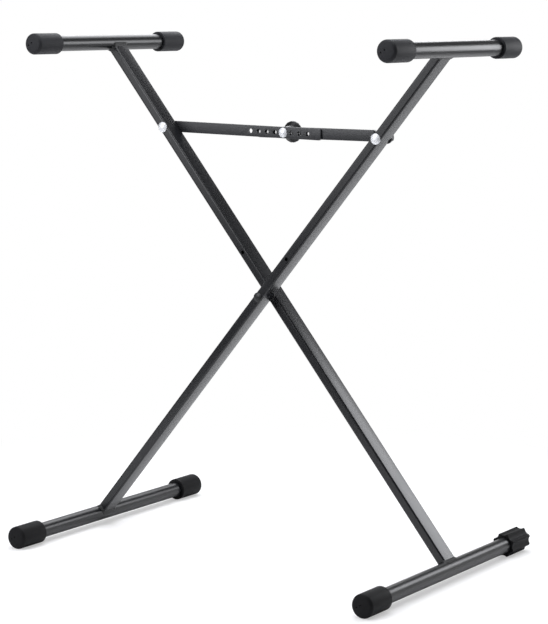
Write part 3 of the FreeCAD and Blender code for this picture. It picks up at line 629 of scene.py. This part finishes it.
def make_strip(name, path, half_width, body, node, holes, pivot, dip, material):
    """Section carried along a path of (across, back) points. At each station it is as wide as the half
    width given there, and its normal is the path's direction turned by a right angle. The finished strip
    dips about its pivot to meet the clamp."""
    section = strip_section(strip_edge_round)
    step = np.gradient(path, axis=0)
    normal = np.stack([-step[:, 1], step[:, 0]], axis=1) / np.linalg.norm(step, axis=1)[:, None]
    flat = path[:, None, :] + normal[:, None, :] * section[None, :, 0, None]
    width = section[None, :, 1] * half_width[:, None]
    rise = width + section[None, :, 2] * np.minimum(1, half_width[:, None] / 2)
    points = np.concatenate([flat, (brace_height + rise)[:, :, None]], axis=2)
    strip = make_piece(name, points, wrap_columns=True)
    drills = []
    for across, radius in [(pivot, eye_radius)] + [(hole, adjusting_radius) for hole in holes]:
        drill = post("drill", radius, drill_front, drill_back, turns=40)
        drill.data.transform(Matrix.Translation((across / 1000.0, 0, brace_height / 1000.0)))
        drills.append(drill)
    cut_away(strip, drills)
    eye = Matrix.Translation((pivot / 1000.0, 0, brace_height / 1000.0))
    strip.data.transform(eye @ Matrix.Rotation(dip, 4, "Y") @ eye.inverted())
    dress(strip, material, body, [node])


strip_coat = powder_coat("satin_black_strip_coat", "#1f2023", "#26272a", 0.4, 0.6, 0.12)
half_turn = np.sin(np.linspace(0, math.pi / 2, 14))
reach = -brace_across - strip_half_width
start = reach + strip_half_width * (1 - np.sqrt(1 - half_turn ** 2))
corner = np.sin(np.linspace(0, math.pi / 2, 8))
stop = left_end - left_end_round + left_end_round * corner
x = np.concatenate([start, np.linspace(start[-1], stop[0], 12)[1:-1], stop, [left_end]])
half_width = np.concatenate([strip_half_width * half_turn, np.full(10, strip_half_width),
                             strip_half_width - left_end_round + left_end_round * np.sqrt(1 - corner ** 2),
                             [0.0]])
x[-1] += end_hair  # the closing point stands a hair further on, so that the path keeps a direction
path = np.column_stack([x, np.full(x.size, left_face + strip_thickness / 2)])
make_strip("brace_strip_left_flat", path, half_width, "brace_left", "brace_strip_left",
           left_first + hole_pitch * np.arange(hole_count), -brace_across, left_dip, strip_coat)

pad_middle = pad_face + strip_thickness / 2
right_middle = right_face + strip_thickness / 2
middle_bend = strip_thickness / 2 * math.tan(math.atan2(right_face - pad_face, joggle_run) / 2)
runs = [(brace_across + strip_half_width, pad_middle, 0),
        (brace_across - joggle_start + middle_bend, pad_middle, bend_radius),
        (brace_across - joggle_start - joggle_run + middle_bend, right_middle, bend_radius),
        (right_end, right_middle, 0)]
line = round_corners(runs, steps=12)
head = brace_across + strip_half_width * np.sqrt(1 - half_turn ** 2)
tail = right_end + strip_half_width * (1 - np.sqrt(1 - half_turn ** 2))
before_bend = np.linspace(head[-1], line[1, 0], 4)[1:-1]
after_bend = np.linspace(line[-2, 0], tail[-1], 12)[1:-1]
middle = np.concatenate([np.column_stack([before_bend, np.full(before_bend.size, pad_middle)]), line[1:-1],
                         np.column_stack([after_bend, np.full(after_bend.size, right_middle)])])
path = np.concatenate([np.column_stack([head, np.full(head.size, pad_middle)]), middle,
                       np.column_stack([tail[::-1], np.full(tail.size, right_middle)])])
half_width = np.concatenate([strip_half_width * half_turn, np.full(len(middle), strip_half_width),
                             strip_half_width * half_turn[::-1]])
make_strip("brace_strip_right_bent", path, half_width, "brace_right", "brace_strip_right",
           right_first + hole_pitch * np.arange(hole_count), brace_across, -right_dip, strip_coat)

# ---------------------------------------------------------------------------
# Clamp: a zinc-plated cup-head bolt through both strips. It is one bolt on the real stand; its
# head goes with the left strip and its threaded end with the right one when the brace opens.
clamp_head_radius = 8.0
clamp_head_height = 4.0
clamp_radius = 3.0
clamp_neck = 2.95

clamp_bolt = turn_profile("clamp_bolt_turned",
                          bolt_profile(clamp_head_radius, clamp_head_height, clamp_radius, clamp_neck),
                          (clamp_across, left_face, clamp_height))
dress(clamp_bolt, zinc, "brace_left", ["clamp_bolt"])
for node in ("clamp_stud", "clamp_washer"):
    repaint(node, zinc)

# ---------------------------------------------------------------------------
# Clamp knob: black moulded plastic with a fluted grip, formed round a brass insert. Turned by
# hand, it presses the two strips together through a plain washer.
grip_radius = 17.65
hub_length = 13.5
grip_shoulder = 5.0
grip_thickness = 9.5
knob_seat = 41.2
lobe_count = 16
lobe_radius = 2.2
lobe_sink = 0.6
grip_crown_share = 0.8
grip_crown = 1.5
grip_round = 2.6
hub_radius = 9.0
flare_radius = 10.5
insert_bore = 6.05
insert_depth = 20.0
lobe_fade = 0.35

crown = np.linspace(0, grip_crown_share, 10)
corners = [(grip_radius * c, hub_length + grip_thickness + grip_crown * (1 - c * c), 0) for c in crown]
corners += [(grip_radius, hub_length + grip_thickness, grip_round),
            (grip_radius, hub_length + grip_shoulder, grip_round), (flare_radius, hub_length, 1.5),
            (hub_radius, 0.0, 0.5), (insert_bore, 0.0, 0), (insert_bore, insert_depth, 0),
            (0.0, insert_depth, 0)]
profile = round_corners(corners)
angle = np.linspace(0, 2 * math.pi, lobe_count * 16, endpoint=False)[:, None]
grip = fluted_radius(angle, lobe_count, math.pi / 2, grip_radius, grip_radius - lobe_sink, lobe_radius)
on_grip = profile[:, 1][None, :] > hub_length + 0.5
turned = profile[:, 0][None, :]
limit = np.where(on_grip, grip - (grip_radius - turned) * lobe_fade, turned)
radius = np.where(turned > flare_radius + 0.5, np.minimum(turned, limit), turned)
x = clamp_across + radius * np.cos(angle)
y = np.broadcast_to(knob_seat + profile[:, 1][None, :], x.shape)
z = clamp_height + radius * np.sin(angle)
knob = make_piece("clamp_knob_fluted", np.stack([x, y, z], axis=2), wrap_rows=True)
knob_plastic = moulded_plastic("black_moulded_knob", "#08090a", "#0f1012", 0.34, 0.9)
dress(knob, knob_plastic, "clamp_knob", ["clamp_knob"], degrees=28)
repaint("knob_insert", plated_steel("turned_brass", "#b08d4f", "#c09c5c", 0.3, 1.0))

# ---------------------------------------------------------------------------
# Studio: a seamless white floor in a room that is dark on the camera's side and bright low down
# behind, with soft lamps. Two of them stand behind and draw the bright bands along the bars. The
# camera sees the floor's own white take over from shadow reach outwards.
floor_half_width = 30000.0
floor_front = -1050.0
floor_back = 60000.0
shadow_reach = 450.0
clear_reach = 1000.0
near_white = 0.42

floor_paper, output = new_material("white_paper_floor")
paper = add_node(floor_paper, "ShaderNodeBsdfDiffuse", {"Color": linear("#fbfbfb")})
own_white = add_node(floor_paper, "ShaderNodeEmission", {"Strength": 1.0})
place = add_node(floor_paper, "ShaderNodeTexCoord").outputs["Object"]
away = add_node(floor_paper, "ShaderNodeVectorMath", {"operation": "LENGTH"}, {0: place})
share = add_node(floor_paper, "ShaderNodeMapRange",
                 {"interpolation_type": "SMOOTHSTEP", "From Min": shadow_reach / 1000.0,
                  "From Max": clear_reach / 1000.0, "To Min": near_white, "To Max": 1.0},
                 {"Value": away.outputs["Value"]})
seen = add_node(floor_paper, "ShaderNodeLightPath")
seen_share = add_node(floor_paper, "ShaderNodeMath", {"operation": "MULTIPLY"},
                      {0: seen.outputs["Is Camera Ray"], 1: share.outputs["Result"]})
floor_mix = add_node(floor_paper, "ShaderNodeMixShader", None,
                     {0: seen_share.outputs[0], 1: paper.outputs["BSDF"], 2: own_white.outputs["Emission"]})
floor_paper.node_tree.links.new(floor_mix.outputs["Shader"], output.inputs["Surface"])
corner_points = np.array([[[-floor_half_width, floor_front, 0.0], [floor_half_width, floor_front, 0.0]],
                          [[-floor_half_width, floor_back, 0.0], [floor_half_width, floor_back, 0.0]]])
floor = make_piece("studio_floor", corner_points)
floor.data.materials.append(floor_paper)

world = bpy.data.worlds.new("studio_surround")
bpy.context.scene.world = world
world.use_nodes = True
world.node_tree.nodes.clear()
facing = add_node(world, "ShaderNodeSeparateXYZ", None,
                  {"Vector": add_node(world, "ShaderNodeTexCoord").outputs["Generated"]})
behind = add_node(world, "ShaderNodeMapRange",
                  {"interpolation_type": "SMOOTHSTEP", "From Min": 0.0, "From Max": 0.7},
                  {"Value": facing.outputs["Y"]})
low = add_node(world, "ShaderNodeMapRange",
               {"interpolation_type": "SMOOTHSTEP", "From Min": 0.45, "From Max": 0.08},
               {"Value": facing.outputs["Z"]})
lit = add_node(world, "ShaderNodeMath", {"operation": "MULTIPLY"},
               {0: behind.outputs["Result"], 1: low.outputs["Result"]})
glow = add_node(world, "ShaderNodeMapRange", {"To Min": 0.17, "To Max": 1.1}, {"Value": lit.outputs[0]})
surround = add_node(world, "ShaderNodeBackground", {"Color": (1.0, 1.0, 1.0, 1.0)},
                    {"Strength": glow.outputs["Result"]})
backdrop = add_node(world, "ShaderNodeBackground", {"Color": (1.0, 1.0, 1.0, 1.0), "Strength": 1.0})
seen = add_node(world, "ShaderNodeLightPath")
world_mix = add_node(world, "ShaderNodeMixShader", None,
                     {0: seen.outputs["Is Camera Ray"], 1: surround.outputs["Background"],
                      2: backdrop.outputs["Background"]})
add_node(world, "ShaderNodeOutputWorld", None, {"Surface": world_mix.outputs["Shader"]})


def soft_lamp(name, place, target, size, power):
    """Large square lamp, a little cool, at a place in millimetres, that faces a target."""
    data = bpy.data.lights.new(name, "AREA")
    data.shape = "SQUARE"
    data.size = size / 1000.0
    data.energy = power
    data.color = (0.955, 0.965, 1.0)
    lamp = bpy.data.objects.new(name, data)
    bpy.context.scene.collection.objects.link(lamp)
    lamp.location = Vector(place) / 1000.0
    lamp.rotation_euler = (Vector(target) - Vector(place)).to_track_quat("-Z", "Y").to_euler()
    lamp.visible_camera = False


soft_lamp("overhead_softbox", (0, 150, 2600), (0, 0, 0), 2000, 54)
soft_lamp("right_back_softbox", (870, 1350, 940), (0, 0, 450), 740, 11)
soft_lamp("left_back_softbox", (-950, 1450, 1740), (-300, 0, 700), 1300, 19)
soft_lamp("front_softbox", (-900, -2500, 1900), (0, 0, 500), 1700, 52)
soft_lamp("front_reflector", (-1150, -1630, 900), (0, 0, 650), 1000, 8)

# ---------------------------------------------------------------------------
# Camera: a little higher than the stand, in front and to its right, aimed at its middle with a
# long lens, as the photograph was taken.
camera_place = np.array([1926.48, -2763.78, 897.05])
camera_target = np.array([8.81, 0.0, 398.5])
camera_roll = math.radians(0.30)
ahead = (camera_target - camera_place) / np.linalg.norm(camera_target - camera_place)
right = np.cross(ahead, (0, 0, 1))
right /= np.linalg.norm(right)
up = np.cross(right, ahead)
tilted_right = right * math.cos(camera_roll) + up * math.sin(camera_roll)
tilted_up = up * math.cos(camera_roll) - right * math.sin(camera_roll)
camera_data = bpy.data.cameras.new("camera")
camera_data.lens = 120.56
camera_data.sensor_width = 36.0
camera_data.clip_end = 50.0
camera = bpy.data.objects.new("camera", camera_data)
bpy.context.scene.collection.objects.link(camera)
axes = np.eye(4)
axes[:3, 0] = tilted_right
axes[:3, 1] = tilted_up
axes[:3, 2] = -ahead
axes[:3, 3] = camera_place / 1000.0
camera.matrix_world = Matrix(axes.tolist())
bpy.context.scene.camera = camera
bpy.context.scene.view_settings.view_transform = "Standard"
